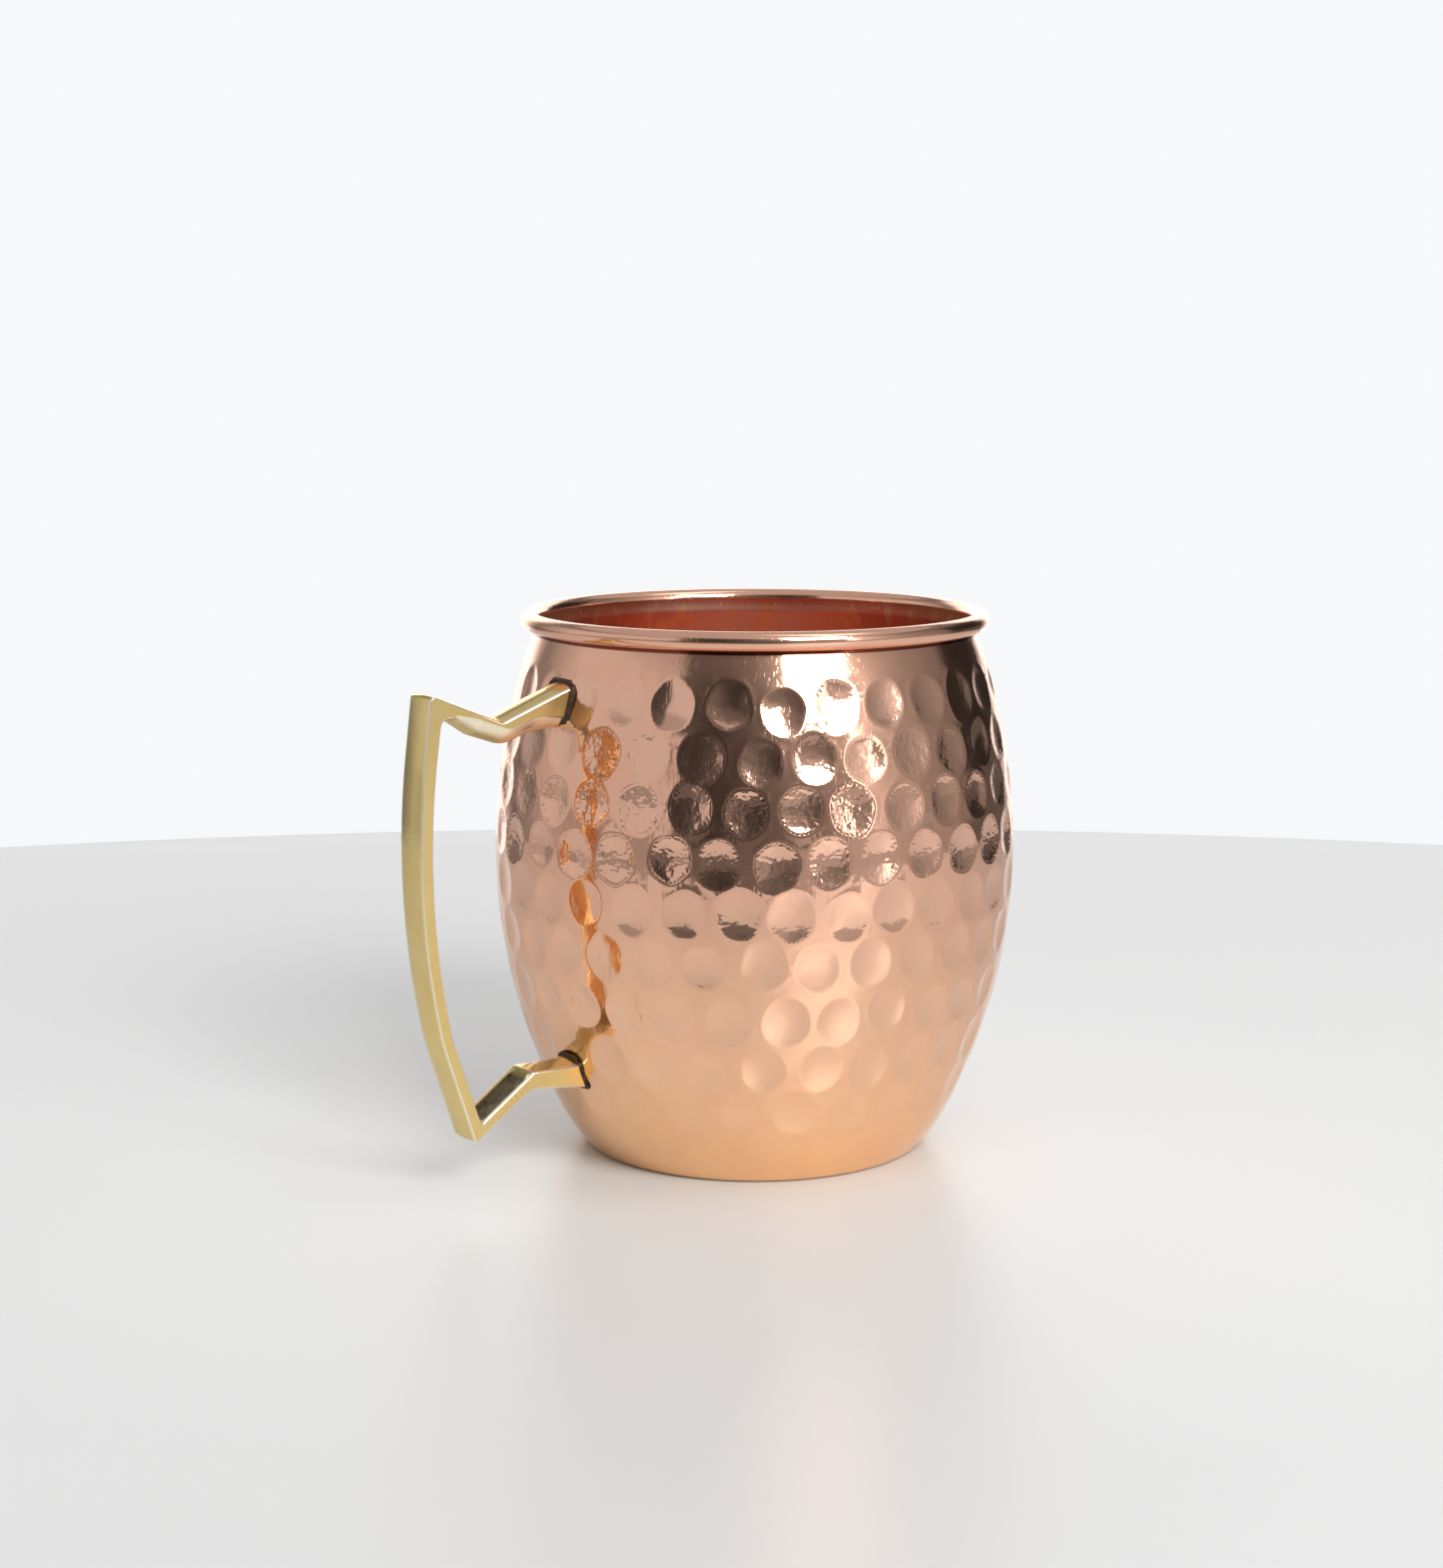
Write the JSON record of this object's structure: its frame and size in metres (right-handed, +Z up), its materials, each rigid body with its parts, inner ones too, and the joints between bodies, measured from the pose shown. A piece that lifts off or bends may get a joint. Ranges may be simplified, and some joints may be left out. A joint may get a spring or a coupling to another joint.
{
  "type": "mug",
  "caption": "Barrel-shaped copper drinking mug with a hammered wall, a rolled rim and an angular cast brass handle brazed to one side.",
  "frame": {"origin": "middle of the flat underside of the base, on the cup's axis", "axes": "+Z up along the cup's axis, out of its mouth; the handle points along -X; X is the longest direction"},
  "size_m": [0.1181, 0.0928, 0.096],
  "materials": {
    "copper": "polished, hand hammered copper",
    "brass": "polished cast brass",
    "braze": "dark oxidised braze"
  },
  "bodies": {
    "root": {"cup_body": "copper", "handle": "brass", "upper_braze_joint": "braze", "lower_braze_joint": "braze"}
  },
  "joints": []
}
